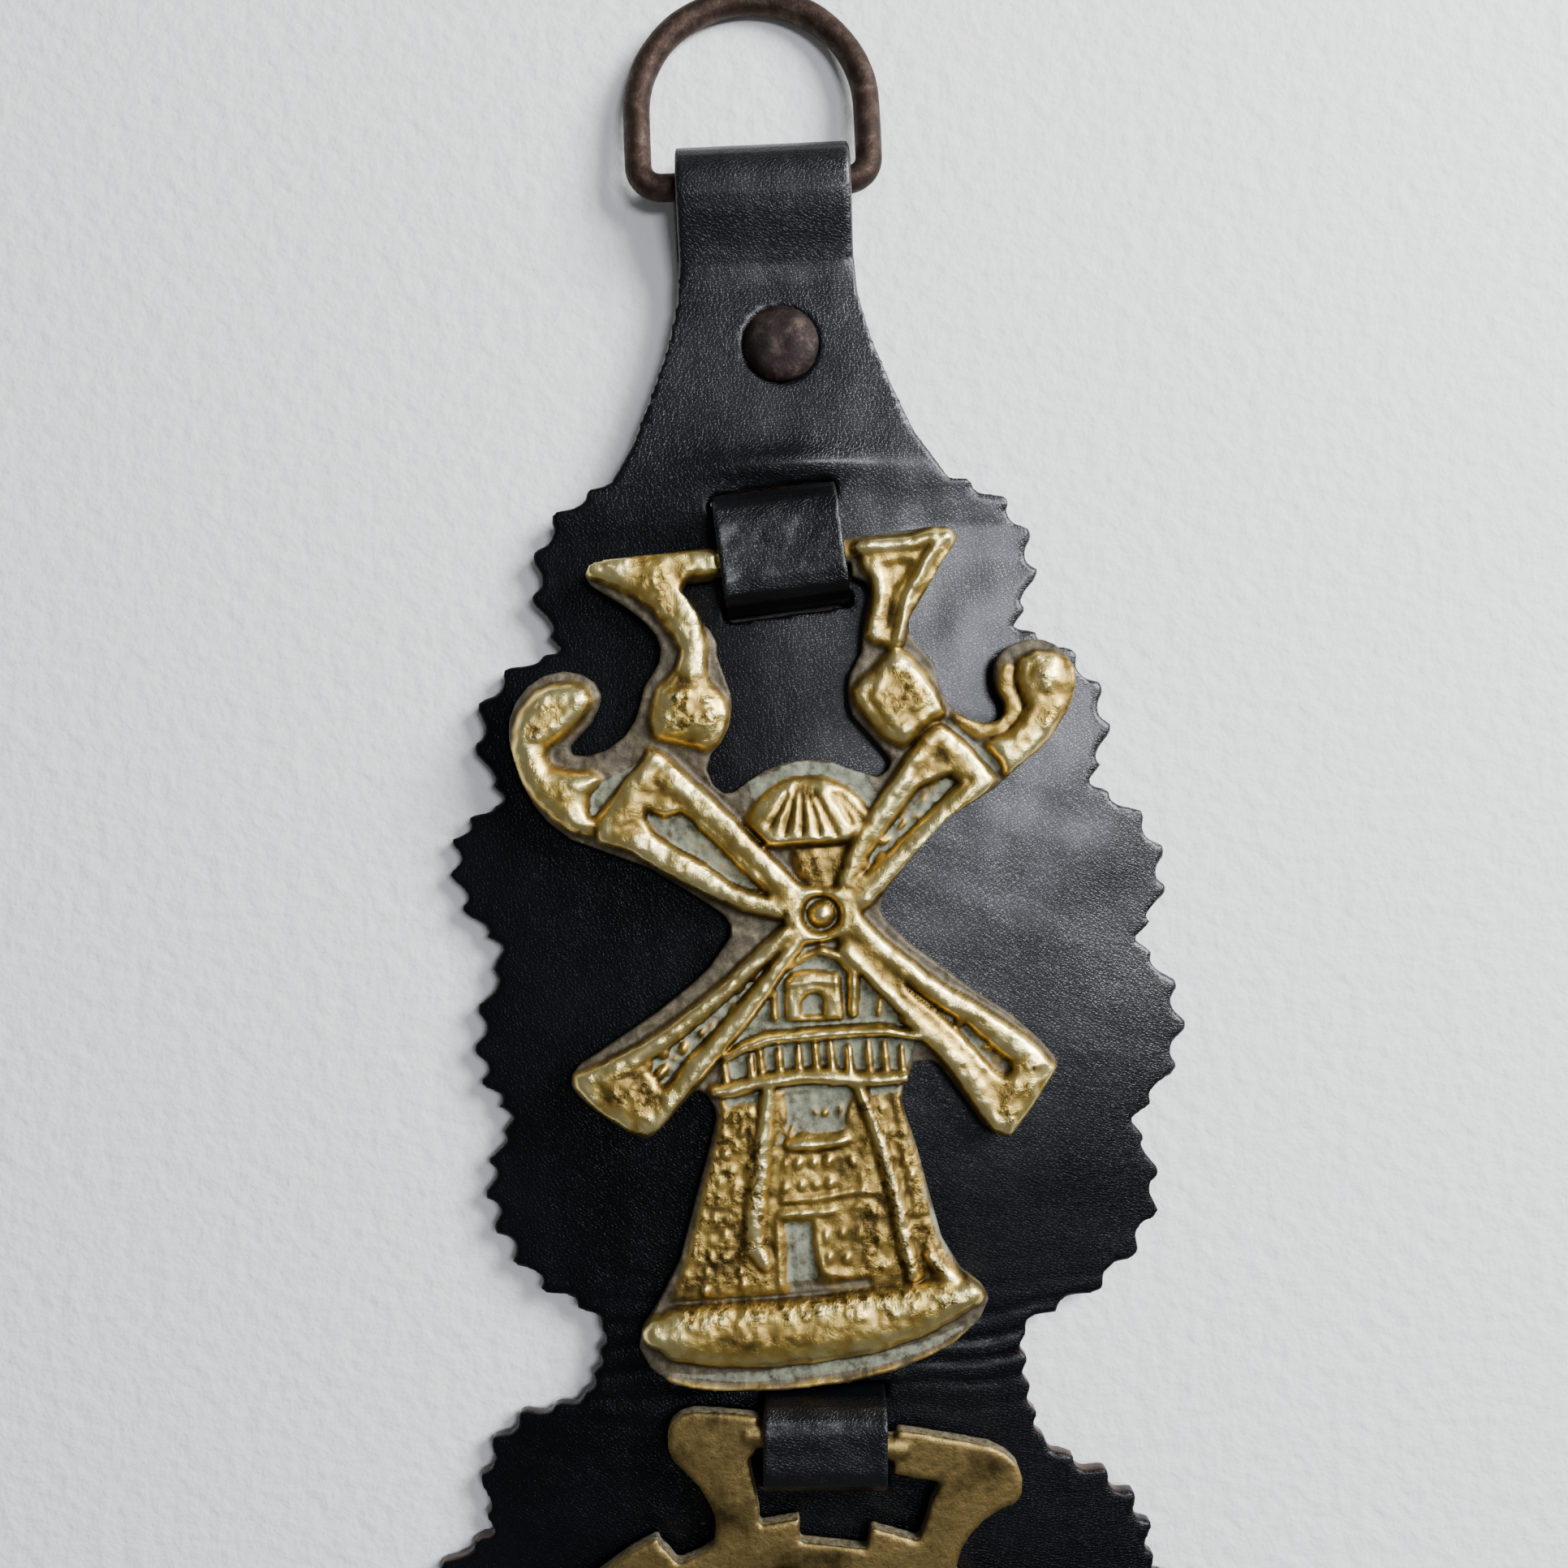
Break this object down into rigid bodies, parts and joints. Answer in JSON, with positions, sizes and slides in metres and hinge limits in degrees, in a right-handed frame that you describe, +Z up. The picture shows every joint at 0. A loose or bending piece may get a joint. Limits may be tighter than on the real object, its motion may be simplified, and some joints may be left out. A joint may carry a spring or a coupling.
{
  "type": "horse brass",
  "caption": "Leather hanger with a ring at the top, a cast windmill brass on a leather loop and a pierced round brass on a second loop below it.",
  "frame": {"origin": "middle of the footprint, on the table that the hanger lies on", "axes": "+Y along the strap towards the ring, +Z up out of the front of the brasses, +X to the right seen from the front"},
  "size_m": [0.1056, 0.2802, 0.0113],
  "materials": {
    "strap_leather": "black dyed strap leather, worn to a soft sheen, brown at the cut edges",
    "loop_leather": "thin black dyed leather, grained",
    "rivet_steel": "dark oxidised dome",
    "ring_steel": "rusty brown wire, rubbed bright in places",
    "cast_brass": "cast, polished on the high places, with dark pits and pale dried polish in the hollows",
    "dull_brass": "flat and dulled, with brown mottling"
  },
  "bodies": {
    "strap": {"leather_strap": "strap_leather", "rivet": "rivet_steel", "upper_loop": "loop_leather", "lower_loop": "loop_leather"},
    "ring": {"d_ring": "ring_steel"},
    "windmill": {"windmill_brass": "cast_brass"},
    "medallion": {"lower_brass": "dull_brass"}
  },
  "joints": [
    {"name": "ring_swing", "type": "hinge", "parent": "strap", "child": "ring", "pos_m": [-0.00102, 0.11404, 0.00465], "axis": [1, 0, 0], "range_deg": [0, 150]},
    {"name": "windmill_swing", "type": "hinge", "parent": "strap", "child": "windmill", "pos_m": [0.00038, 0.06679, 0.007], "axis": [-0.9981, -0.061, 0], "range_deg": [0, 120]},
    {"name": "medallion_swing", "type": "hinge", "parent": "strap", "child": "medallion", "pos_m": [0.00138, -0.04246, 0.0075], "axis": [-0.991, 0.134, 0], "range_deg": [0, 120]}
  ]
}
